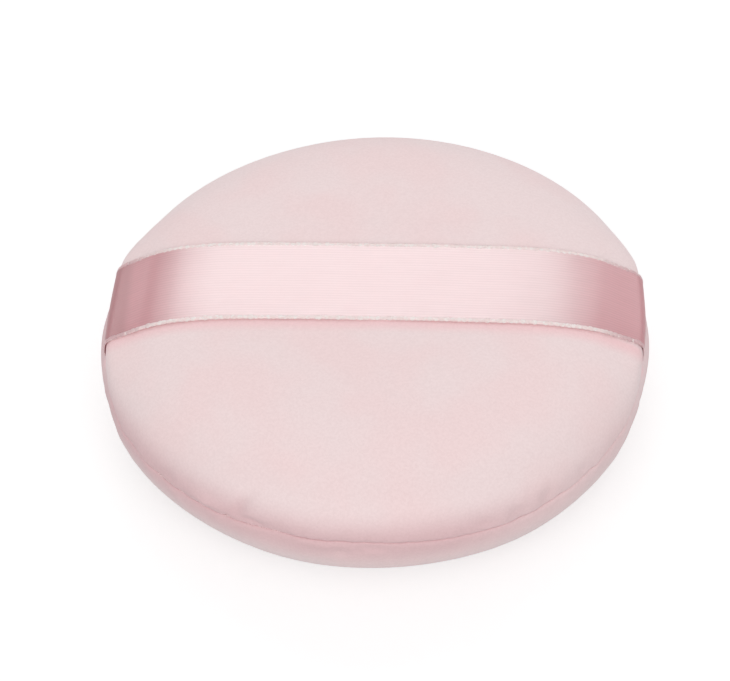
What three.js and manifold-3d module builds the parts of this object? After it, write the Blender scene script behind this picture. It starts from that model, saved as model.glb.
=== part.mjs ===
// A powder puff: two velour covers sewn together and turned out over a foam core, with a satin
// ribbon across the top that the fingers slide under. Sizes are in millimetres and +Z is up. The
// ribbon runs along X, and the origin is the middle of the face that the puff lies on.

import * as THREE from "three";
import { LoftGeometry } from "three/addons/geometries/LoftGeometry.js";
import { mergeVertices } from "three/addons/utils/BufferGeometryUtils.js";
import Module from "manifold-3d";

const wasm = await Module();
wasm.setup();

// The puff as a whole
const puff_diameter = 80;
const crown_height = 11.6; // from the seam up to the middle of the upper cover
const base_height = 10.5; // from the seam down to the face that the puff lies on
const base_flattening = 0.5; // how far lying down presses the lower crown in
const touch_gap = 0.3; // between pieces that touch

// The velour covers
const cover_thickness = 1.2; // backing and pile
const lip_radius = 1; // where a cover rolls into the seam
const seam_gap = 0.3;
const allowance_width = 3.5; // turned in past the lip
const allowance_thickness = 0.8;

// How the seam strays from a circle
const ribbon_pull = 1.7; // the taut ribbon's ends draw the seam and the side wall in
const pull_reach = 11; // to each side of a ribbon end
const pull_depth = 4; // how fast the pull dies away below the seam
const ribbon_lift = 3; // and they draw the seam up, all across the ribbon
const lift_fade = 12; // from there along the rim, or inwards, to where the lift ends
const lift_height = 7.5; // from the seam up to where the wall isn't lifted any more
const gather_depth = 0.15; // waves of the cloth along the stitching
const gather_reach = 4; // above and below the seam

// The satin ribbon
const ribbon_width = 16;
const ribbon_thickness = 0.4;
const selvedge_width = 0.5;
const selvedge_thickness = 0.5;
const ribbon_tail_margin = 0.7; // the ribbon stops this far short of the allowance's raw edge

// The sewing thread
const thread_radius = 0.2;
const stitch_length = 3;
const stitch_rise = 0.15; // from the thread's middle height to the top of a stitch
const stitch_line_inset = 2.1; // from the widest circle in to the row of stitches
const tack_inset = 3.6; // from the widest circle in to the ribbon tacks
const tack_swing = 0.3; // to each side of the tack's own line
const tack_pitch = 1;
const tack_margin = 1; // from a selvedge in to the end of a tack
const closing_pitch = 2;
const closing_swing = 0.15; // up to the upper lip and down to the lower one

// The foam core
const foam_clearance = 0.8; // under the covers, all round

// Pure numbers: how full each shoulder is, the gathers, where the gap is closed, and the facets
const upper_fullness = 5.5;
const lower_fullness = 8.5;
const gathers = 18;
const closing_from_share = 214 / 360; // of the way round from +X
const closing_to_share = 257 / 360;
const facets_around = 72;
const facets_shoulder = 8;
const facets_lip = 3;
const facets_thread = 5;

const puff_radius = puff_diameter / 2;
const lip_top = seam_gap / 2 + lip_radius; // the side wall starts here, above and below the seam
const allowance_top = seam_gap / 2 + allowance_thickness;
const allowance_inner_radius = puff_radius - lip_radius - allowance_width;
const stitch_height = allowance_top + touch_gap + thread_radius + stitch_rise;
const pocket_half_width = ribbon_width / 2 + touch_gap;
// The inner end of the ribbon's pocket. From here out the seam is lifted as a whole.
const pocket_inner = Math.sqrt(allowance_inner_radius ** 2 - pocket_half_width ** 2);

function fading(distance, reach) {
  return 1 - THREE.MathUtils.smoothstep(distance, 0, reach);
}

// How far the ribbon's end lifts a point of the plain round puff.
function lifted(point) {
  const beside = Math.abs(point.y) - pocket_half_width;
  const inside = pocket_inner - Math.abs(point.x);
  const depth = Math.abs(point.z) - stitch_height;
  const reach = point.z > 0 ? lift_height : base_height - stitch_height;
  return (
    ribbon_lift * fading(beside, lift_fade) * fading(inside, lift_fade) * fading(depth, reach)
  );
}

// Where a point of the plain round puff goes once the ribbon and the stitches pull on it. Heights
// are from the seam.
function settled(point) {
  const angle = Math.atan2(point.y, point.x);
  const radius = Math.hypot(point.x, point.y);
  const along_rim = puff_radius * Math.asin(Math.abs(Math.sin(angle)));
  const near_ribbon = Math.exp(-((along_rim / pull_reach) ** 2));
  const pulled = point.z < 0 ? Math.exp(-((point.z / pull_depth) ** 2)) : 1;
  const near_seam = Math.exp(-((point.z / gather_reach) ** 2));
  const shift =
    gather_depth * near_seam * Math.cos(gathers * angle) - ribbon_pull * near_ribbon * pulled;
  const scale = radius > 0 ? 1 + (shift / radius) * (radius / puff_radius) ** 4 : 1;
  return new THREE.Vector3(point.x * scale, point.y * scale, point.z + lifted(point));
}

// A full-shouldered curve from the middle of a crown out and down to the foot of its side wall.
function crownLine(radius, foot, height, fullness, flattening) {
  const points = [];
  for (let i = 0; i <= facets_shoulder; i++) {
    const turn = (Math.PI / 2) * (1 - i / facets_shoulder);
    const reach = i === 0 ? 0 : radius * Math.cos(turn) ** (2 / fullness);
    const rise = foot + (height + flattening - foot) * Math.sin(turn);
    points.push(new THREE.Vector2(reach, Math.min(rise, height)));
  }
  return points;
}

// A closed surface of revolution about Z, from a profile of radius and height, then settled.
function turned(profile) {
  const geometry = new THREE.LatheGeometry(profile, facets_around);
  geometry.rotateX(Math.PI / 2).rotateZ(Math.PI / 2);
  const places = geometry.getAttribute("position");
  const point = new THREE.Vector3();
  for (let i = 0; i < places.count; i++) {
    const moved = settled(point.fromBufferAttribute(places, i));
    places.setXYZ(i, moved.x, moved.y, moved.z);
  }
  geometry.computeVertexNormals();
  return geometry;
}

// One cover's section, from the inner middle over its shoulder and down to the seam allowance,
// round the raw edge and the lip, and back up outside. Heights are counted away from the seam.
function coverSection(height, fullness, flattening) {
  const inside = crownLine(
    puff_radius - cover_thickness,
    allowance_top,
    height - cover_thickness,
    fullness,
    flattening,
  );
  const raw_edge = [
    new THREE.Vector2(allowance_inner_radius, allowance_top),
    new THREE.Vector2(allowance_inner_radius, seam_gap / 2),
  ];
  const lip = [];
  for (let i = 0; i < facets_lip; i++) {
    const turn = (Math.PI / 2) * (i / facets_lip);
    const reach = puff_radius - lip_radius + lip_radius * Math.sin(turn);
    lip.push(new THREE.Vector2(reach, lip_top - lip_radius * Math.cos(turn)));
  }
  const outside = crownLine(puff_radius, lip_top, height, fullness, flattening);
  return [...inside, ...raw_edge, ...lip, ...outside.reverse()];
}

// The same section below the seam, turned over so that its faces still point out.
function turnedOver(profile) {
  return profile.map((p) => new THREE.Vector2(p.x, -p.y)).reverse();
}

function solidOf(geometry) {
  const bare = geometry.clone();
  bare.deleteAttribute("normal");
  bare.deleteAttribute("uv");
  const merged = mergeVertices(bare);
  return new wasm.Manifold(
    new wasm.Mesh({
      numProp: 3,
      vertProperties: merged.getAttribute("position").array,
      triVerts: new Uint32Array(merged.index.array),
    }),
  );
}

function geometryOf(solid) {
  const mesh = solid.getMesh();
  const geometry = new THREE.BufferGeometry();
  geometry.setAttribute("position", new THREE.BufferAttribute(mesh.vertProperties, 3));
  geometry.setIndex(new THREE.BufferAttribute(mesh.triVerts, 1));
  geometry.computeVertexNormals();
  return geometry;
}

// Both seam allowances are pressed thin where a ribbon end lies between them.
function withRibbonPockets(geometry) {
  const inner = pocket_inner - ribbon_pull;
  const outer = puff_radius + touch_gap;
  const pocket = new THREE.BoxGeometry(
    outer - inner,
    2 * pocket_half_width,
    selvedge_thickness + 2 * touch_gap,
  );
  let cover = solidOf(geometry);
  for (const side of [-1, 1]) {
    const placed = pocket.clone().translate((side * (outer + inner)) / 2, 0, ribbon_lift);
    cover = cover.subtract(solidOf(placed));
  }
  return geometryOf(cover);
}

function upperCover() {
  return withRibbonPockets(turned(coverSection(crown_height, upper_fullness, 0)));
}

function lowerCover() {
  const section = coverSection(base_height, lower_fullness, base_flattening);
  return withRibbonPockets(turned(turnedOver(section)));
}

// The foam fills both covers, with a groove round it for the seam allowances and their thread.
function foamCore() {
  const radius = puff_radius - cover_thickness - foam_clearance;
  const inset = cover_thickness + foam_clearance;
  const groove_half_height = stitch_height + stitch_rise + thread_radius + touch_gap;
  const groove_radius = allowance_inner_radius - touch_gap;
  const above = crownLine(radius, groove_half_height, crown_height - inset, upper_fullness, 0);
  const below = crownLine(
    radius,
    groove_half_height,
    base_height - inset,
    lower_fullness,
    base_flattening,
  );
  const groove = [
    new THREE.Vector2(groove_radius, -groove_half_height),
    new THREE.Vector2(groove_radius, groove_half_height),
  ];
  return turned([...turnedOver(below.reverse()), ...groove, ...above.reverse()]);
}

// The ribbon's centre line from the seam to the middle of the crown, as x and height: out between
// the allowances, round the upper lip, up the side wall and over the shoulder.
function ribbonHalfLine() {
  const stand_off = touch_gap + ribbon_thickness / 2;
  const tail = allowance_inner_radius + ribbon_tail_margin;
  const line = [new THREE.Vector3(tail, 0, 0)];
  for (let i = 0; i <= facets_lip; i++) {
    const turn = (Math.PI / 2) * (i / facets_lip);
    const reach = puff_radius - lip_radius + (lip_radius + stand_off) * Math.sin(turn);
    line.push(new THREE.Vector3(reach, 0, lip_top * (1 - Math.cos(turn))));
  }
  const wall = crownLine(puff_radius, lip_top, crown_height, upper_fullness, 0).reverse();
  for (let i = 1; i < wall.length - 1; i++) {
    const along = wall[i + 1].clone().sub(wall[i - 1]).normalize();
    const reach = wall[i].x + along.y * stand_off;
    line.push(new THREE.Vector3(reach, 0, wall[i].y - along.x * stand_off));
  }
  line.push(new THREE.Vector3(0, 0, crown_height + stand_off));
  return line.map(settled);
}

// The ribbon: a flat section with thicker woven selvedges, carried along its line from the left
// seam over the crown to the right one.
function ribbonBand() {
  const right = ribbonHalfLine();
  const left = right.slice(0, -1).map((p) => new THREE.Vector3(-p.x, 0, p.z));
  const line = [...left, ...right.reverse()];
  const half = ribbon_width / 2;
  const across = [
    [half, selvedge_thickness / 2],
    [half - selvedge_width, ribbon_thickness / 2],
    [-half + selvedge_width, ribbon_thickness / 2],
    [-half, selvedge_thickness / 2],
  ];
  const under = across.map(([y, up]) => [y, -up]).reverse();
  const sections = line.map((point, i) => {
    const before = line[Math.max(i - 1, 0)];
    const after = line[Math.min(i + 1, line.length - 1)];
    const along = after.clone().sub(before).normalize();
    const outward = new THREE.Vector3(-along.z, 0, along.x);
    return [...across, ...under].map(([y, up]) => {
      const place = point.clone().addScaledVector(outward, up);
      return place.setY(y);
    });
  });
  return new LoftGeometry(sections, { capStart: true, capEnd: true });
}

// A length of thread through the given points, settled with the cloth that it is sewn to.
function thread(points) {
  const round = [];
  for (let i = 0; i < facets_thread; i++) {
    const turn = (2 * Math.PI * i) / facets_thread;
    round.push(new THREE.Vector2(Math.cos(turn), Math.sin(turn)).multiplyScalar(thread_radius));
  }
  return new THREE.ExtrudeGeometry(new THREE.Shape(round), {
    steps: points.length - 1,
    bevelEnabled: false,
    extrudePath: new THREE.CatmullRomCurve3(points.map(settled)),
  });
}

// A row of stitches round the seam from one share of the circle to another. Every second point
// swings out and up from the row, and the others swing back.
function stitchRow({ radius, height, from_share, to_share, pitch, swing_out, swing_up }) {
  const length = 2 * Math.PI * radius * (to_share - from_share);
  const steps = Math.round((2 * length) / pitch);
  const points = [];
  for (let i = 0; i <= steps; i++) {
    const angle = 2 * Math.PI * (from_share + ((to_share - from_share) * i) / steps);
    const side = i % 2 ? 1 : -1;
    const reach = radius + side * swing_out;
    const place = new THREE.Vector3(Math.cos(angle), Math.sin(angle), 0).multiplyScalar(reach);
    points.push(place.setZ(height + side * swing_up));
  }
  return thread(points);
}

// The lockstitch runs round the seam from one end of the turning gap to the other. The needle
// thread lies on the upper allowance and the bobbin thread under the lower one.
function seamThread(side) {
  return stitchRow({
    radius: puff_radius - stitch_line_inset,
    height: side * stitch_height,
    from_share: closing_to_share,
    to_share: closing_from_share + 1,
    pitch: stitch_length,
    swing_out: 0,
    swing_up: side * stitch_rise,
  });
}

// The turning gap is closed by hand, with ladder stitches from lip to lip in the seam's crease.
function closingThread() {
  return stitchRow({
    radius: puff_radius - thread_radius / 2,
    height: 0,
    from_share: closing_from_share,
    to_share: closing_to_share,
    pitch: closing_pitch,
    swing_out: 0,
    swing_up: closing_swing,
  });
}

// A short zigzag that tacks a ribbon end to the upper allowance, inside the row of stitches.
function ribbonTack(middle_share) {
  const radius = puff_radius - tack_inset;
  const half_share = (ribbon_width / 2 - tack_margin) / (2 * Math.PI * radius);
  return stitchRow({
    radius,
    height: allowance_top + touch_gap + thread_radius,
    from_share: middle_share - half_share,
    to_share: middle_share + half_share,
    pitch: tack_pitch,
    swing_out: tack_swing,
    swing_up: 0,
  });
}

function piece(name, geometry, material) {
  const mesh = new THREE.Mesh(geometry, material);
  mesh.name = name;
  return mesh;
}

const velour = { color: 0xf3d9da, roughness: 0.95, metalness: 0 };
const satin = { color: 0xe3b4ba, roughness: 0.35, metalness: 0 };
const foam = { color: 0xf6efe6, roughness: 0.9, metalness: 0 };
const cotton = { color: 0xeac3c7, roughness: 0.8, metalness: 0 };

const puff = new THREE.Group();
puff.position.z = base_height;
puff.add(
  piece("upper_cover", upperCover(), new THREE.MeshStandardMaterial(velour)),
  piece("lower_cover", lowerCover(), new THREE.MeshStandardMaterial(velour)),
  piece("foam_core", foamCore(), new THREE.MeshStandardMaterial(foam)),
  piece("ribbon_band", ribbonBand(), new THREE.MeshStandardMaterial(satin)),
  piece("seam_needle_thread", seamThread(1), new THREE.MeshStandardMaterial(cotton)),
  piece("seam_bobbin_thread", seamThread(-1), new THREE.MeshStandardMaterial(cotton)),
  piece("closing_thread", closingThread(), new THREE.MeshStandardMaterial(cotton)),
  piece("ribbon_tack_right", ribbonTack(0), new THREE.MeshStandardMaterial(cotton)),
  piece("ribbon_tack_left", ribbonTack(1 / 2), new THREE.MeshStandardMaterial(cotton)),
);

export default puff;
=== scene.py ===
# A round powder puff: two velour covers, sewn together and turned out over a foam core, with a satin
# ribbon across the top that the fingers slide under. It is built up in the order in which it is
# made. Lengths are in metres, +Z is up, and the ribbon runs along X.

import math

import bmesh
import bpy
from mathutils import Matrix, Vector, noise


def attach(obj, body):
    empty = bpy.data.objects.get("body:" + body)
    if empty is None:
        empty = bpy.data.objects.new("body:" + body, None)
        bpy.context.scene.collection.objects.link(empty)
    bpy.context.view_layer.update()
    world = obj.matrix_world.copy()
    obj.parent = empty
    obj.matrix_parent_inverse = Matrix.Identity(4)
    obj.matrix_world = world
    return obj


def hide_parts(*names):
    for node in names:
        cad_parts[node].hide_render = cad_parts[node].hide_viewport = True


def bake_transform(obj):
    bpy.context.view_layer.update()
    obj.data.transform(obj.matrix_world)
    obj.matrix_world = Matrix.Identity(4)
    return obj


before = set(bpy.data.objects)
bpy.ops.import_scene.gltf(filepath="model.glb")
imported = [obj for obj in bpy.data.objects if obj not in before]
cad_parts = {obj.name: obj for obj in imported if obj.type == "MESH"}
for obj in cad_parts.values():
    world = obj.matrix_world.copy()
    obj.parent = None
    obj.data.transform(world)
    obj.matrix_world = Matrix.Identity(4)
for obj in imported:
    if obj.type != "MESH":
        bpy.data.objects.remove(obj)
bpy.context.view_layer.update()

# The table, the room and the view
# The puff lies on a white table in a white room. Three soft lamps, each wider than the last, hang
# behind and above it, and their reflection makes the satin bright over the middle of the crown. A
# window and a strip behind it catch the satin's shoulders, and a broad lamp lights the near side.

seam_height = 0.0105  # above the table, and so the height of the ribbon's two ends
look_down = math.radians(44.77)
look_aside = math.radians(2.06)  # the viewer stands this far round towards +X
tilt = math.radians(0.56)
view_distance = 0.50
view_lens = 168.9
aim = Vector((-0.00174, -0.00013, seam_height - 0.00006))

room_light = 0.54
lamp_distance = 1.0
bright_lamp_light = 1.6
bright_lamp_size = (0.36, 0.16)
soft_lamp_light = 1.25
soft_lamp_size = (0.72, 0.22)
halo_light = 1.45
halo_size = (1.2, 0.26)
halo_drop = math.radians(4.6)
lamp_turn = math.radians(5)  # the bright lamp hangs this far to the left of the halo
broad_lamp_light = 1.48
broad_lamp_size = (3.0, 0.6)
broad_lamp_height = math.radians(32)
window_light = 0.95
window_size = (0.50, 0.55)
window_place = (math.radians(142), math.radians(17))  # aside and up, behind the puff to the right
strip_light = 1.15
strip_size = (0.22, 0.26)
strip_place = (math.radians(222.5), math.radians(15))  # and behind it to the left
table_half_size = 3.0
table_shade = 0.62
table_lift = 0.52  # what the white of the table keeps in the puff's shadow


def pointing(target, place, turned=0.0):
    """The place and turn of a camera or a lamp that looks from place at target."""
    aimed = (target - place).to_track_quat("-Z", "Y").to_matrix().to_4x4()
    return Matrix.Translation(place) @ aimed @ Matrix.Rotation(turned, 4, "Z")


def towards(aside, up):
    """The direction from the puff to a viewer who stands aside from -Y and looks down by up."""
    return Vector((math.sin(aside) * math.cos(up), -math.cos(aside) * math.cos(up), math.sin(up)))


class Dye:
    """A socket of a finish. Arithmetic on it adds Math nodes, and node adds any other node."""

    def __init__(self, tree, socket=None):
        self.tree = tree
        self.socket = socket

    def node(self, kind, settings=(), sockets=(), output=0):
        made = self.tree.nodes.new(kind)
        for name, value in dict(settings).items():
            setattr(made, name, value)
        for name, value in dict(sockets).items():
            if isinstance(value, Dye):
                self.tree.links.new(value.socket, made.inputs[name])
            else:
                made.inputs[name].default_value = value
        return Dye(self.tree, made.outputs[output] if made.outputs else None)

    def maths(self, operation, *terms):
        return self.node("ShaderNodeMath", {"operation": operation}, enumerate(terms))

    def __add__(self, other):
        return self.maths("ADD", self, other)

    def __sub__(self, other):
        return self.maths("SUBTRACT", self, other)

    def __rsub__(self, other):
        return self.maths("SUBTRACT", other, self)

    def __mul__(self, other):
        return self.maths("MULTIPLY", self, other)

    __radd__ = __add__
    __rmul__ = __mul__

    def between(self, low, high, to_low=0.0, to_high=1.0):
        """A soft step from to_low to to_high as this socket goes from low to high."""
        sockets = {
            "Value": self,
            "From Min": low,
            "From Max": high,
            "To Min": to_low,
            "To Max": to_high,
        }
        return self.node("ShaderNodeMapRange", {"interpolation_type": "SMOOTHSTEP"}, sockets)

    def mixed(self, first, second):
        """The colour first where this socket is 0 and second where it is 1."""
        sockets = {0: self, 6: first, 7: second}
        return self.node("ShaderNodeMix", {"data_type": "RGBA"}, sockets, output=2)


def seen_rays(tree):
    """1 for the rays that look at a thing or its reflection, and 0 for those that light others."""
    path = tree.nodes.new("ShaderNodeLightPath")
    camera, glossy, through = (
        Dye(tree, path.outputs[name])
        for name in ("Is Camera Ray", "Is Glossy Ray", "Is Transmission Ray")
    )
    looking = camera + glossy + through
    return looking.maths("MINIMUM", looking, 1.0)


scene = bpy.context.scene
scene.view_settings.view_transform = "Standard"

camera = bpy.data.objects.new("view", bpy.data.cameras.new("view"))
scene.collection.objects.link(camera)
scene.camera = camera
camera.data.lens = view_lens
camera.data.clip_start = 0.01
camera.matrix_world = pointing(aim, aim + view_distance * towards(look_aside, look_down), -tilt)

white_room = bpy.data.worlds.new("white_room")
scene.world = white_room
white_room.use_nodes = True
white_room.node_tree.nodes.clear()
air = Dye(white_room.node_tree)
dim = air.node("ShaderNodeBackground", (), {"Color": (1, 1, 1, 1), "Strength": room_light})
plain = air.node("ShaderNodeBackground", (), {"Color": (1, 1, 1, 1), "Strength": 1.0})
walls = air.node("ShaderNodeMixShader", (), {0: seen_rays(white_room.node_tree), 1: dim, 2: plain})
air.node("ShaderNodeOutputWorld", (), {"Surface": walls})


def hang_lamp(name, size, light, direction):
    """A flat lamp that shines on the puff from this direction and is as bright as light all over."""
    lamp = bpy.data.objects.new(name, bpy.data.lights.new(name, "AREA"))
    scene.collection.objects.link(lamp)
    lamp.data.shape = "RECTANGLE"
    lamp.data.size, lamp.data.size_y = size
    lamp.data.energy = light * math.pi * size[0] * size[1]
    puff_middle = Vector((0, 0, seam_height))
    lamp.matrix_world = pointing(puff_middle, puff_middle + lamp_distance * direction)


mirrored = math.pi + look_aside  # the side from which a level face mirrors to the viewer
bright_lamp_side = towards(mirrored + lamp_turn, look_down)
hang_lamp("bright_lamp", bright_lamp_size, bright_lamp_light, bright_lamp_side)
soft_lamp_side = towards(mirrored + lamp_turn / 2, look_down)
hang_lamp("soft_lamp", soft_lamp_size, soft_lamp_light, soft_lamp_side)
hang_lamp("halo", halo_size, halo_light, towards(mirrored, look_down - halo_drop))
hang_lamp("broad_lamp", broad_lamp_size, broad_lamp_light, towards(0.0, broad_lamp_height))
hang_lamp("window", window_size, window_light, towards(*window_place))
hang_lamp("strip", strip_size, strip_light, towards(*strip_place))


def finish_for(name):
    """A new material with its surface, and the means to add nodes to it."""
    material = bpy.data.materials.new(name)
    material.use_nodes = True
    material.node_tree.nodes.clear()
    return material, Dye(material.node_tree)


def piece_of(name, mesh, material):
    """A new object for a finished mesh, smooth all over."""
    made = bpy.data.objects.new(name, mesh)
    scene.collection.objects.link(made)
    mesh.materials.append(material)
    for face in mesh.polygons:
        face.use_smooth = True
    return made


def mesh_from(bm, name):
    """The bmesh as a mesh, with its doubles merged and its faces pointing out."""
    bmesh.ops.remove_doubles(bm, verts=bm.verts, dist=1e-7)
    bmesh.ops.recalc_face_normals(bm, faces=bm.faces)
    mesh = bpy.data.meshes.new(name)
    bm.to_mesh(mesh)
    bm.free()
    return mesh


table_white, on_table = finish_for("table_white")
seen = seen_rays(table_white.node_tree)
lit = on_table.node("ShaderNodeBsdfDiffuse", (), {"Color": (table_shade,) * 3 + (1,)})
glow = on_table.node("ShaderNodeEmission", (), {"Strength": seen * table_lift})
both = on_table.node("ShaderNodeAddShader", (), {0: lit, 1: glow})
on_table.node("ShaderNodeOutputMaterial", (), {"Surface": both})

bm = bmesh.new()
bmesh.ops.create_grid(bm, x_segments=1, y_segments=1, size=table_half_size)
table = piece_of("table", mesh_from(bm, "table"), table_white)

# The foam core
# A disc of open-cell foam, cut to fill both covers. Its edge has a groove all the way round for the
# seam allowances that are turned in. It is never seen, but it gives the puff its full shoulders.

puff_radius = 0.040
crown_height = 0.0116  # from the seam to the middle of the upper cover
base_height = 0.0105
base_flattening = 0.0005  # how far lying down presses the lower crown in
upper_fullness = 5.5
lower_fullness = 8.5
cover_thickness = 0.0012
foam_clearance = 0.0008
groove_half_height = 0.0020
groove_radius = 0.0352
foam_steps = 14  # along each crown's section
foam_sides = 96

left_pull = 0.0018  # the taut ribbon's ends draw the seam and the side wall in
right_pull = 0.0013
pull_reach = 0.011
pull_depth = 0.0018
ribbon_lift = 0.0030  # and they draw the seam up, all across the ribbon
lifted_half_width = 0.0083
lifted_from = 0.0345  # from this far out, the seam and its allowances are lifted as a whole
lifted_depth = 0.00165
lift_fade = 0.012
lift_height = 0.0075
gather_depth = 0.00006
gather_reach = 0.004
gathers = 18
seam_wander = 0.0005
seam_waves = 5
seam_highest = math.radians(265)


def out_of_round(angle):
    """How far the hand-turned puff strays from a circle."""
    onefold = -0.00053 * math.sin(angle)
    twofold = 0.00018 * math.cos(2 * angle) + 0.00044 * math.sin(2 * angle)
    threefold = -0.00025 * math.cos(3 * angle) + 0.00003 * math.sin(3 * angle)
    return onefold + twofold + threefold


def fading(distance, reach):
    """A soft step from 1 down to 0, over this reach."""
    share = min(max(distance / reach, 0.0), 1.0)
    return 1 - share * share * (3 - 2 * share)


def lifted(place):
    """How far the ribbon's end lifts a point of the plain round puff."""
    beside = fading(abs(place.y) - lifted_half_width, lift_fade)
    inside = fading(lifted_from - abs(place.x), lift_fade)
    reach = lift_height if place.z > 0 else base_height - lifted_depth
    return ribbon_lift * beside * inside * fading(abs(place.z) - lifted_depth, reach)


def settled(place):
    """Where a point of the plain round puff goes once the ribbon and the stitches pull on it."""
    angle = math.atan2(place.y, place.x)
    radius = math.hypot(place.x, place.y)
    if radius < 1e-9:
        return place.copy()
    near_ribbon = math.exp(-((puff_radius * math.asin(abs(math.sin(angle))) / pull_reach) ** 2))
    pulled = math.exp(-((place.z / pull_depth) ** 2)) if place.z < 0 else 1.0
    near_seam = math.exp(-((place.z / gather_reach) ** 2))
    shift = gather_depth * near_seam * math.cos(gathers * angle)
    shift += out_of_round(angle)
    shift -= (left_pull if place.x < 0 else right_pull) * near_ribbon * pulled
    share = (radius / puff_radius) ** 4
    scale = 1 + shift / radius * share
    wander = seam_wander * near_seam * math.cos(seam_waves * (angle - seam_highest))
    return Vector((place.x * scale, place.y * scale, place.z + share * wander + lifted(place)))


def crown_line(radius, foot, height, fullness, flattening, steps):
    """A full-shouldered curve from the middle of a crown out and down to the foot of its wall."""
    line = []
    for i in range(steps + 1):
        turn = math.pi / 2 * (1 - i / steps)
        reach = 0.0 if i == 0 else radius * max(math.cos(turn), 0.0) ** (2 / fullness)
        rise = foot + (height + flattening - foot) * math.sin(turn)
        line.append(Vector((reach, 0, min(rise, height))))
    return line


def turned_over(line):
    """The same line below the seam, from its far end back."""
    return [Vector((p.x, 0, -p.z)) for p in reversed(line)]


def spun(line, steps):
    """A closed round body from a section that starts and ends on the axis. Heights are from the
    seam."""
    bm = bmesh.new()
    corners = [bm.verts.new(p) for p in line]
    edges = [bm.edges.new(pair) for pair in zip(corners, corners[1:])]
    bmesh.ops.spin(
        bm,
        geom=corners + edges,
        axis=(0, 0, 1),
        cent=(0, 0, 0),
        angle=2 * math.pi,
        steps=steps,
        use_merge=True,
    )
    bmesh.ops.remove_doubles(bm, verts=bm.verts, dist=1e-7)
    return bm


def lift_to_seam(bm):
    """Moves a body whose heights are from the seam to where it lies on the table."""
    bmesh.ops.translate(bm, verts=bm.verts, vec=(0, 0, seam_height))


foam_inset = cover_thickness + foam_clearance
foam_radius = puff_radius - foam_inset
foam_above = crown_line(
    foam_radius,
    groove_half_height,
    crown_height - foam_inset,
    upper_fullness,
    0,
    foam_steps,
)
foam_below = crown_line(
    foam_radius,
    groove_half_height,
    base_height - foam_inset,
    lower_fullness,
    base_flattening,
    foam_steps,
)
groove = [
    Vector((groove_radius, 0, groove_half_height)),
    Vector((groove_radius, 0, -groove_half_height)),
]
bm = spun([*foam_above, *groove, *turned_over(foam_below)], foam_sides)
for vert in bm.verts:
    vert.co = settled(vert.co)
lift_to_seam(bm)

foam_white, in_foam = finish_for("foam_white")
at = in_foam.node("ShaderNodeTexCoord", (), (), output=3)
cells = in_foam.node("ShaderNodeTexVoronoi", (), {"Vector": at, "Scale": 1900.0})
# Painted shade: the cream is painted darker down in the pits of the cells, as the shade in them.
walls = cells.between(0.0, 0.6)
cream = walls.mixed((0.70, 0.62, 0.52, 1), (0.91, 0.85, 0.77, 1))
pits = in_foam.node("ShaderNodeBump", (), {"Strength": 0.8, "Distance": 0.0002, "Height": walls})
surface = in_foam.node(
    "ShaderNodeBsdfPrincipled", (), {"Base Color": cream, "Roughness": 0.9, "Normal": pits}
)
in_foam.node("ShaderNodeOutputMaterial", (), {"Surface": surface})

foam_disc = piece_of("foam_disc", mesh_from(bm, "foam_disc"), foam_white)
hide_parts("foam_core")
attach(foam_disc, "puff")

# The velour covers
# Two discs of short-pile velour, sewn face to face and turned right side out over the foam. Each
# rolls into the seam over a soft lip, and its raw edge is turned in behind the lip. The stitches
# gather the cloth a little, and it is puckered where the turning gap was closed by hand.

lip_radius = 0.0008  # how high each lip is
lip_depth = 0.00032  # and how deep the crease between them
seam_gap = 0.00008
allowance_width = 0.0035
allowance_thickness = 0.0008
lip_top = seam_gap / 2 + lip_radius
allowance_top = seam_gap / 2 + allowance_thickness
allowance_inner_radius = puff_radius - lip_depth - allowance_width
lip_steps = 6
inside_steps = 16
outside_steps = 48
cover_sides = 420
fine_gathers = 0.00022  # how deep the cloth is gathered along the seam
broad_gathers = 0.00014
gathered_height = 0.003
lump_height = 0.00030
lumps_per_metre = 55
smooth_half_width = 0.0115  # the ribbon keeps the velour smooth this far to each side
flat_above = 0.006  # from this height on, a lump moves the cloth up as well as out


def cover_line(height, fullness, flattening):
    """One cover's section: inside from the middle down to the raw edge, round the lip and back up
    outside."""
    inside = crown_line(
        puff_radius - cover_thickness,
        allowance_top,
        height - cover_thickness,
        fullness,
        flattening,
        inside_steps,
    )
    raw_edge = [
        Vector((allowance_inner_radius, 0, allowance_top)),
        Vector((allowance_inner_radius, 0, seam_gap / 2)),
    ]
    lip = []
    for i in range(lip_steps):
        turn = math.pi / 2 * i / lip_steps
        reach = puff_radius - lip_depth + lip_depth * math.sin(turn)
        lip.append(Vector((reach, 0, lip_top - lip_radius * math.cos(turn))))
    outside = crown_line(puff_radius, lip_top, height, fullness, flattening, outside_steps)
    return [*inside, *raw_edge, *lip, *reversed(outside)]


# Each pucker by the closed gap: how far round in degrees, height above the seam, half its width,
# half its height, how it slants, and how far it stands out, in millimetres.
puckers = (
    (243.0, 2.6, 1.0, 2.6, 0.56, -0.72),
    (235.0, 1.2, 2.4, 0.9, 0.2, 0.60),
    (246.5, 0.8, 1.8, 0.7, 0.0, -0.50),
    (224.0, 1.0, 1.6, 1.2, 0.3, -0.30),
    (260.0, -0.3, 2.4, 0.9, 0.0, 0.30),
    (264.5, -1.6, 0.9, 0.9, 0.0, -0.30),
    (271.0, -0.6, 1.6, 0.7, 0.0, -0.30),
    (294.0, 1.1, 1.2, 1.2, -0.5, -0.34),
    (300.5, 1.1, 1.2, 1.2, -0.5, -0.34),
    (308.0, 1.2, 1.4, 1.3, -0.5, -0.36),
    (318.0, 1.3, 1.6, 1.3, -0.5, -0.36),
)


def puckered(angle, height):
    """How far the puckers by the seam stand out here."""
    out = 0.0
    for place, middle, width, reach, slant, depth in puckers:
        up = 1000 * height - middle
        along = 1000 * puff_radius * (angle % (2 * math.pi) - math.radians(place)) - slant * up
        out += 0.001 * depth * math.exp(-((along / width) ** 2) - (up / reach) ** 2)
    return out


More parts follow.
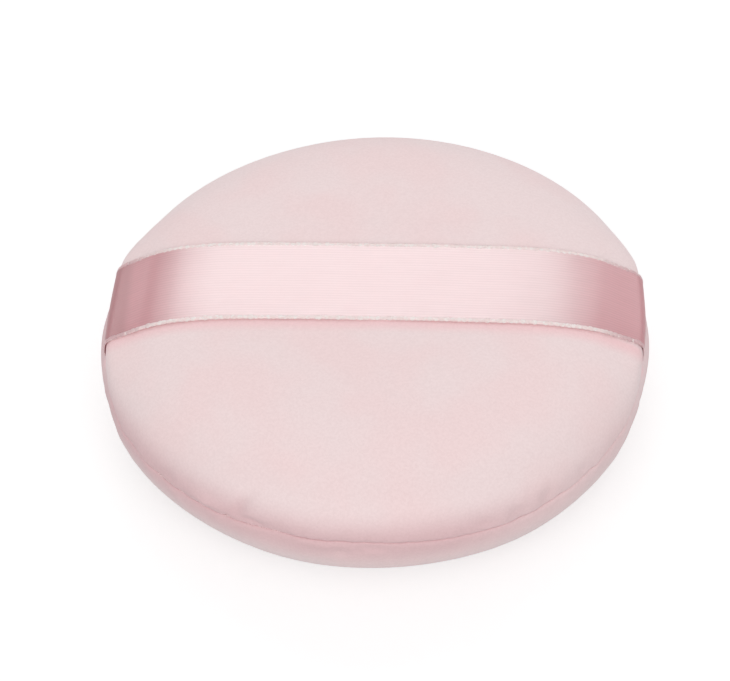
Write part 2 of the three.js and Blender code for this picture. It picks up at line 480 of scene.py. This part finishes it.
def sewn(place):
    """A point of a cover once it is sewn and turned out: settled, then lumpy and puckered."""
    place = settled(place)
    angle = math.atan2(place.y, place.x)
    radius = math.hypot(place.x, place.y)
    share = (radius / puff_radius) ** 4
    round_seam = 4.0 * Vector((math.cos(angle), math.sin(angle), 0))
    clear_of_ribbon = 1 - math.exp(-((place.y / smooth_half_width) ** 8))
    fine = noise.noise(6.5 * round_seam + Vector((0, 0, 300 * place.z)))
    broad = noise.noise(2.6 * round_seam + Vector((7, 0, 90 * place.z)))
    gathered = fine_gathers * fine + broad_gathers * broad
    gathered *= math.exp(-abs(place.z) / gathered_height)
    lump = lump_height * noise.noise(place * lumps_per_metre) * clear_of_ribbon
    lump *= min(1, abs(place.z) / gathered_height)
    out = (gathered * clear_of_ribbon + lump + puckered(angle, place.z)) * share
    scale = 1 + out / max(radius, 1e-6)
    up = place.z
    if abs(place.z) > flat_above:
        up += math.copysign(lump * (1 - share), place.z)
    return Vector((place.x * scale, place.y * scale, max(up, -base_height)))


# The nap is matt and even, with faint cream and rose clouds. Its colour is painted a deeper mauve
# by the seam, as the shade in the crease, and a rosier strip is painted along the ribbon's front
# edge, as the pink shadow that light through the ribbon casts.
velour_rose, nap = finish_for("velour_rose")
at = nap.node("ShaderNodeTexCoord", (), (), output=3)
clouds = nap.node(
    "ShaderNodeTexNoise", (), {"Vector": at, "Scale": 85.0, "Detail": 2.0, "Roughness": 0.5}
)
grain = nap.node(
    "ShaderNodeTexNoise", (), {"Vector": at, "Scale": 2600.0, "Detail": 2.0, "Roughness": 0.6}
)
tufts = nap.node(
    "ShaderNodeTexNoise", (), {"Vector": at, "Scale": 900.0, "Detail": 3.0, "Roughness": 0.6}
)
heights = nap.node("ShaderNodeSeparateXYZ", (), {0: at}, output=2)
from_seam = heights - seam_height
# Painted shade: the nap is painted deeper mauve near the seam, as the crease's shade, and less so
# towards +X, where more light falls.
painted_seam_shade = from_seam.maths("ABSOLUTE", from_seam).between(0.0004, 0.0060, 1.0, 0.0)
to_right = nap.node("ShaderNodeSeparateXYZ", (), {0: at}, output=0)
painted_seam_shade = painted_seam_shade * to_right.between(0.010, 0.030, 1.0, 0.45)
rose = clouds.between(0.35, 0.65).mixed((0.925, 0.760, 0.760, 1), (0.935, 0.735, 0.735, 1))
rose = painted_seam_shade.mixed(rose, (0.775, 0.53, 0.545, 1))
beside = nap.node("ShaderNodeSeparateXYZ", (), {0: at}, output=1)
# Painted shadow: a rosier strip along the ribbon's front edge stands for the pink shadow that light
# through the ribbon casts on the nap.
in_front = beside.between(-0.0106, -0.0080, 0.0, 0.95)
in_front = in_front * beside.between(-0.0078, -0.0068, 1.0, 0.0)
painted_ribbon_shadow = in_front * from_seam.between(0.0010, 0.0030)
rose = painted_ribbon_shadow.mixed(rose, (0.95, 0.64, 0.655, 1))
lighter = grain.between(0.3, 0.7).mixed((0.96, 0.95, 0.95, 1), (1.0, 1.0, 1.0, 1))
colour = nap.node(
    "ShaderNodeMix",
    {"data_type": "RGBA", "blend_type": "MULTIPLY"},
    {0: 1.0, 6: rose, 7: lighter},
    output=2,
)
pile = nap.node(
    "ShaderNodeBump",
    (),
    {"Strength": 0.5, "Distance": 0.00012, "Height": grain * 0.6 + tufts * 0.8},
)
surface = nap.node(
    "ShaderNodeBsdfPrincipled",
    (),
    {
        "Base Color": colour,
        "Roughness": 0.95,
        "Specular IOR Level": 0.15,
        "Sheen Weight": 0.30,
        "Sheen Roughness": 0.55,
        "Sheen Tint": (0.88, 0.93, 0.95, 1),
        "Normal": pile,
    },
)
nap.node("ShaderNodeOutputMaterial", (), {"Surface": surface})

upper_line = cover_line(crown_height, upper_fullness, 0)
lower_line = turned_over(cover_line(base_height, lower_fullness, base_flattening))
for name, node, line in (
    ("upper_velour", "upper_cover", upper_line),
    ("lower_velour", "lower_cover", lower_line),
):
    bm = spun(line, cover_sides)
    for vert in bm.verts:
        vert.co = sewn(vert.co)
    lift_to_seam(bm)
    cover = piece_of(name, mesh_from(bm, name), velour_rose)
    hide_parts(node)
    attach(cover, "puff")

# The satin ribbon
# A length of double-faced satin ribbon. Its two ends are caught in the seam, between the two seam
# allowances, and the span between them lies over the crown. The warp yarns run along it and float
# on both faces, which gives its gloss.

ribbon_width = 0.016
ribbon_thickness = 0.0002
touch_gap = 0.00008
tail_margin = 0.0007
yarn_pitch = 0.00050
selvedge_width = 0.0009
woven_width = ribbon_width - 0.0003  # the loops of the selvedges stand out past it
# Where the ribbon stands off the puff, as it turns over each shoulder and goes down each side: the
# place along it from the middle, half its reach and its height.
slack = (
    (-0.0345, 0.0030, 0.00006),
    (0.0345, 0.0035, 0.00006),
    (-0.0290, 0.0020, 0.00005),
    (-0.0390, 0.0021, 0.00008),
    (0.0388, 0.0021, 0.00026),
)
cupped_end = 0.0011  # how far the right end's front edge is drawn in by the round seam
cupped_length = 0.016
sway_width = 0.00012
ribbon_steps = 260
ribbon_strips = 24
crease_angle = math.radians(60)


def ribbon_half_line(stand_off):
    """The ribbon's line from the middle of the crown down to one end, as x and height."""
    wall_steps, turn_steps = 60, 12
    wall = crown_line(puff_radius, lip_top, crown_height, upper_fullness, 0, wall_steps)
    line = [Vector((0, 0, crown_height + stand_off))]
    for before, here, after in zip(wall, wall[1:], wall[2:]):
        along = (after - before).normalized()
        line.append(here + stand_off * Vector((-along.z, 0, along.x)))
    for i in range(turn_steps + 1):
        turn = math.pi / 2 * (1 - i / turn_steps)
        reach = puff_radius - lip_depth + (lip_depth + stand_off) * math.sin(turn)
        line.append(Vector((reach, 0, lip_top * (1 - math.cos(turn)))))
    line.append(Vector((allowance_inner_radius + tail_margin, 0, 0)))
    return line


half_line = ribbon_half_line(touch_gap + ribbon_thickness / 2)
left_half = [Vector((-p.x, 0, p.z)) for p in reversed(half_line[1:])]
ribbon_line = [*left_half, *half_line]
ribbon_lengths = [0.0]
for before, after in zip(ribbon_line, ribbon_line[1:]):
    laid = settled(after) - settled(before)
    ribbon_lengths.append(ribbon_lengths[-1] + laid.length)
ribbon_length = ribbon_lengths[-1]


def crown_rise(reach):
    """How far the upper cover rises above its lip, this far out from the middle."""
    share = min(reach / puff_radius, 1.0) ** upper_fullness
    return (crown_height - lip_top) * math.sqrt(1 - share)


def on_ribbon(along, across, up=0.0):
    """Where a point of the flat ribbon goes once it is laid over the crown, down round the side and
    into the seam."""
    along = min(max(along, 0.0), ribbon_length)
    i = 1
    while ribbon_lengths[i] < along and i < len(ribbon_lengths) - 1:
        i += 1
    before, after = ribbon_line[i - 1], ribbon_line[i]
    share = (along - ribbon_lengths[i - 1]) / (ribbon_lengths[i] - ribbon_lengths[i - 1])
    course = (after - before).normalized()
    for place, reach, height in slack:
        up += height * math.exp(-(((along - ribbon_length / 2 - place) / reach) ** 2))
    place = before.lerp(after, share) + up * Vector((-course.z, 0, course.x))
    round_side = (puff_radius - math.sqrt(puff_radius**2 - across**2)) / puff_radius**4
    middle_rise = crown_rise(abs(place.x))
    place.x -= math.copysign(round_side * place.x**4, place.x)
    if place.z > lip_top:
        place.z += crown_rise(math.hypot(place.x, across)) - middle_rise
    if across < 0:
        from_end = ribbon_length - along - tail_margin - allowance_width
        across *= 1 - 2 * cupped_end / ribbon_width * fading(from_end, cupped_length)
    place.y = across
    place = settled(place)
    sway = sway_width * noise.noise(Vector((along * 90, 3, 0)))
    return Vector((place.x, across + sway, place.z + seam_height))


def ribbon_turn(along, across):
    """The directions along, across and out of the laid ribbon at a point, as a turn."""
    step = 0.0002
    course = (on_ribbon(along + step, across) - on_ribbon(along - step, across)).normalized()
    sideways = (on_ribbon(along, across + step) - on_ribbon(along, across - step)).normalized()
    outward = course.cross(sideways).normalized()
    return Matrix((course, outward.cross(course), outward)).transposed().to_4x4()


bm = bmesh.new()
weave = bm.loops.layers.uv.new("weave")
bmesh.ops.create_grid(bm, x_segments=ribbon_steps, y_segments=ribbon_strips, size=0.5)
flat_places = {vert: vert.co.copy() for vert in bm.verts}
for face in bm.faces:
    for loop in face.loops:
        flat = flat_places[loop.vert]
        loop[weave].uv = ((flat.x + 0.5) * ribbon_length * 100, flat.y * woven_width * 100)
for vert, flat in flat_places.items():
    along = (flat.x + 0.5) * ribbon_length
    vert.co = on_ribbon(along, flat.y * woven_width, ribbon_thickness / 2)
bmesh.ops.solidify(bm, geom=bm.faces, thickness=ribbon_thickness)
for edge in bm.edges:
    edge.smooth = edge.calc_face_angle(0.0) < crease_angle

satin_rose, warp = finish_for("satin_rose")
laid = warp.node("ShaderNodeUVMap", {"uv_map": "weave"})
across = warp.node("ShaderNodeSeparateXYZ", (), {0: laid}, output=1)
drawn_out = warp.node("ShaderNodeMapping", (), {"Vector": laid, "Scale": (1.4, 22.0, 1.0)})
drift = warp.node("ShaderNodeTexNoise", (), {"Vector": drawn_out, "Scale": 1.0, "Detail": 3.0})
fine = warp.node("ShaderNodeMapping", (), {"Vector": laid, "Scale": (3.0, 60.0, 1.0)})
hairs = warp.node("ShaderNodeTexNoise", (), {"Vector": fine, "Scale": 1.0, "Detail": 2.0})
turns = across * (2 * math.pi * 0.01 / yarn_pitch) + drift * 1.2
yarns = turns.maths("SINE", turns) * 0.5 + 0.5
points = warp.node("ShaderNodeMapping", (), {"Vector": laid, "Scale": (17.0, 25.0, 1.0)})
knots = warp.node("ShaderNodeTexVoronoi", (), {"Vector": points, "Scale": 1.0})
ties = knots.between(0.10, 0.45)
shade = (yarns - 0.5) * 0.4 + drift * 0.5 + hairs * 0.35
at = warp.node("ShaderNodeTexCoord", (), (), output=3)
outwards = warp.node("ShaderNodeSeparateXYZ", (), {0: at}, output=0)
# Painted light: the rose is painted paler over the middle of the crown, as the satin's highlight
# there, and deeper towards both ends, as the shade on them.
painted_light_middle = outwards.maths("ABSOLUTE", outwards).between(0.0230, 0.0352, 1.0, 0.0)
painted_shade_rose = shade.between(0.05, 0.80).mixed((0.52, 0.145, 0.175, 1), (0.66, 0.23, 0.27, 1))
painted_highlight_rose = shade.between(0.05, 0.80).mixed((0.73, 0.53, 0.54, 1), (0.85, 0.64, 0.65, 1))
rose = painted_light_middle.mixed(painted_shade_rose, painted_highlight_rose)
# Painted shade: the left end is painted darker still, as the shade and dark reflection on it.
painted_left_end_shade = outwards.between(-0.0366, -0.0350, 0.75, 0.0)
rose = painted_left_end_shade.mixed(rose, (0.40, 0.08, 0.10, 1))
plain_edge = across.maths("ABSOLUTE", across).between(0.725, 0.735)
rose = plain_edge.mixed(rose, (0.98, 0.88, 0.86, 1))
height = yarns * 0.20 + drift * 0.25 + ties * 0.30
ridges = warp.node(
    "ShaderNodeBump", (), {"Strength": 1.0, "Distance": 0.000022, "Height": height}
)
surface = warp.node(
    "ShaderNodeBsdfPrincipled",
    (),
    {
        "Base Color": rose,
        "Roughness": plain_edge * 0.2 + 0.28,
        "IOR": 2.0,
        "Specular IOR Level": 0.9,
        "Normal": ridges,
    },
)
through = warp.node("ShaderNodeBsdfTranslucent", (), {"Color": (0.95, 0.60, 0.62, 1)})
sheer = warp.node("ShaderNodeMixShader", (), {0: 0.30, 1: surface, 2: through})
warp.node("ShaderNodeOutputMaterial", (), {"Surface": sheer})

satin_ribbon = piece_of("satin_ribbon", mesh_from(bm, "satin_ribbon"), satin_rose)
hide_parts("ribbon_band")

# The ribbon's selvedges
# Along both edges the weft yarns turn back round the outermost warp, over a narrow plain-woven
# strip. Each turn stands up as a small slanted loop.

loop_pitch = 0.00082
loop_half_width = 0.66 * loop_pitch  # so that the loops overlap
loop_half_length = 0.00045
loop_half_thickness = 0.0001008
loop_rise = 0.00004  # how far the loops stand above the middle of the cloth
loop_slant = math.radians(24)
loop_stagger = 0.25  # shares of the pitch
loop_slip = 0.5
loop_unevenness = 0.45

bm = bmesh.new()
for side in (-1, 1):
    for i in range(1, int(ribbon_length / loop_pitch)):
        slip = loop_slip * noise.noise(Vector((i * 1.7, side * 9, 0)))
        along = (i + loop_stagger * side + slip) * loop_pitch
        across = side * (ribbon_width - selvedge_width) / 2
        lean = Matrix.Rotation(side * loop_slant * (1 if i % 2 else -1), 4, "Z")
        wobble = 1 + loop_unevenness * noise.noise(Vector((i * 0.9, side * 5, 0)))
        sizes = (loop_half_width, loop_half_length * wobble, loop_half_thickness * wobble)
        shaped = Matrix.Diagonal((*sizes, 1))
        turned = ribbon_turn(along, across) @ lean @ shaped
        place = Matrix.Translation(on_ribbon(along, across, loop_rise)) @ turned
        bmesh.ops.create_uvsphere(bm, u_segments=7, v_segments=5, radius=1.0, matrix=place)

selvedge_rose, weft = finish_for("selvedge_rose")
at = weft.node("ShaderNodeTexCoord", (), (), output=3)
mottle = weft.node("ShaderNodeTexNoise", (), {"Vector": at, "Scale": 1500.0, "Detail": 1.0})
outwards = weft.node("ShaderNodeSeparateXYZ", (), {0: at}, output=0)
# Painted shade: the loops are painted a darker rose towards both ends, as the shade where the ribbon
# goes down the sides.
painted_light_middle = outwards.maths("ABSOLUTE", outwards).between(0.0300, 0.0370, 1.0, 0.0)
cream = mottle.between(0.35, 0.65).mixed((0.96, 0.82, 0.80, 1), (1.0, 0.97, 0.94, 1))
rose = painted_light_middle.mixed((0.74, 0.50, 0.52, 1), cream)
twist = weft.node("ShaderNodeBump", (), {"Strength": 0.4, "Distance": 0.00003, "Height": mottle})
surface = weft.node(
    "ShaderNodeBsdfPrincipled",
    (),
    {"Base Color": rose, "Roughness": 0.4, "Specular IOR Level": 0.7, "Normal": twist},
)
through = weft.node("ShaderNodeBsdfTranslucent", (), {"Color": (1.0, 0.82, 0.82, 1)})
sheer = weft.node("ShaderNodeMixShader", (), {0: 0.25, 1: surface, 2: through})
weft.node("ShaderNodeOutputMaterial", (), {"Surface": sheer})

selvedge_loops = piece_of("selvedge_loops", mesh_from(bm, "selvedge_loops"), selvedge_rose)
for piece in (satin_ribbon, selvedge_loops):
    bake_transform(piece)

# The sewing threads
# Two-ply cotton. A lockstitch holds the seam, with its needle thread on the upper allowance and its
# bobbin thread under the lower one, a zigzag tacks each ribbon end, and ladder stitches close the
# turning gap by hand, down in the crease of the seam.

ply_radius = 0.00011
ply_offset = 0.00009
ply_turn = 0.0009
row_step = 0.00015
seam_radius = puff_radius - 0.0021
stitch_pitch = 0.003
stitch_height = 0.00165
stitch_rise = 0.00015
tack_radius = puff_radius - 0.0036
tack_pitch = 0.001
tack_height = 0.00145
tack_swing = 0.0003
tack_half_share = (ribbon_width / 2 - 0.001) / (2 * math.pi * tack_radius)
ladder_radius = puff_radius - 0.00045
ladder_pitch = 0.002
ladder_rise = 0.00015
gap_from, gap_to = 214 / 360, 257 / 360  # shares of the way round from +X

cotton_rose, cotton = finish_for("cotton_rose")
at = cotton.node("ShaderNodeTexCoord", (), (), output=3)
fibres = cotton.node("ShaderNodeTexNoise", (), {"Vector": at, "Scale": 6000.0, "Detail": 1.0})
rose = fibres.between(0.3, 0.7).mixed((0.74, 0.50, 0.51, 1), (0.88, 0.70, 0.69, 1))
fuzz = cotton.node("ShaderNodeBump", (), {"Strength": 0.4, "Distance": 0.00003, "Height": fibres})
surface = cotton.node(
    "ShaderNodeBsdfPrincipled",
    (),
    {"Base Color": rose, "Roughness": 0.8, "Specular IOR Level": 0.3, "Normal": fuzz},
)
cotton.node("ShaderNodeOutputMaterial", (), {"Surface": surface})


def stitch_row(radius, height, from_share, to_share, pitch, swing_out=0.0, swing_up=0.0):
    """Points along a row of stitches round the seam. Each stitch swings out or up from the row and
    back again."""
    length = 2 * math.pi * radius * (to_share - from_share)
    swings = round(2 * length / pitch)
    steps = max(1, round(length / row_step))
    points = []
    for i in range(steps + 1):
        swing = -math.cos(math.pi * swings * i / steps)
        angle = 2 * math.pi * (from_share + (to_share - from_share) * i / steps)
        reach = radius + swing * swing_out
        place = Vector((reach * math.cos(angle), reach * math.sin(angle), height))
        points.append(settled(place + Vector((0, 0, swing * swing_up))))
    return points


def sewn_thread(name, node, points):
    """A two-ply thread along these points, in place of its node."""
    curve = bpy.data.curves.new(name, "CURVE")
    curve.dimensions = "3D"
    curve.bevel_depth = ply_radius
    curve.bevel_resolution = 1
    curve.use_fill_caps = True
    for ply in (0, 1):
        strand = curve.splines.new("POLY")
        strand.points.add(len(points) - 1)
        length = 0.0
        for i, point in enumerate(points):
            course = (points[min(i + 1, len(points) - 1)] - points[max(i - 1, 0)]).normalized()
            length += (point - points[i - 1]).length if i else 0.0
            beside = course.cross(Vector((0, 0, 1))).normalized()
            above = beside.cross(course)
            turn = 2 * math.pi * length / ply_turn + math.pi * ply
            place = point + ply_offset * (math.cos(turn) * beside + math.sin(turn) * above)
            strand.points[i].co = (*(place + Vector((0, 0, seam_height))), 1)
    outline = bpy.data.objects.new(name, curve)
    mesh = bpy.data.meshes.new_from_object(outline)
    bpy.data.objects.remove(outline)
    bpy.data.curves.remove(curve)
    thread = piece_of(name, mesh, cotton_rose)
    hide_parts(node)
    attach(thread, "puff")


for name, node, side in (
    ("needle_stitches", "seam_needle_thread", 1),
    ("bobbin_stitches", "seam_bobbin_thread", -1),
):
    row = stitch_row(
        seam_radius,
        side * stitch_height,
        gap_to,
        gap_from + 1,
        stitch_pitch,
        swing_up=side * stitch_rise,
    )
    sewn_thread(name, node, row)
for name, node, middle in (
    ("right_tack", "ribbon_tack_right", 0.0),
    ("left_tack", "ribbon_tack_left", 0.5),
):
    row = stitch_row(
        tack_radius,
        tack_height,
        middle - tack_half_share,
        middle + tack_half_share,
        tack_pitch,
        swing_out=tack_swing,
    )
    sewn_thread(name, node, row)
row = stitch_row(ladder_radius, 0.0, gap_from, gap_to, ladder_pitch, swing_up=ladder_rise)
sewn_thread("ladder_stitches", "closing_thread", row)
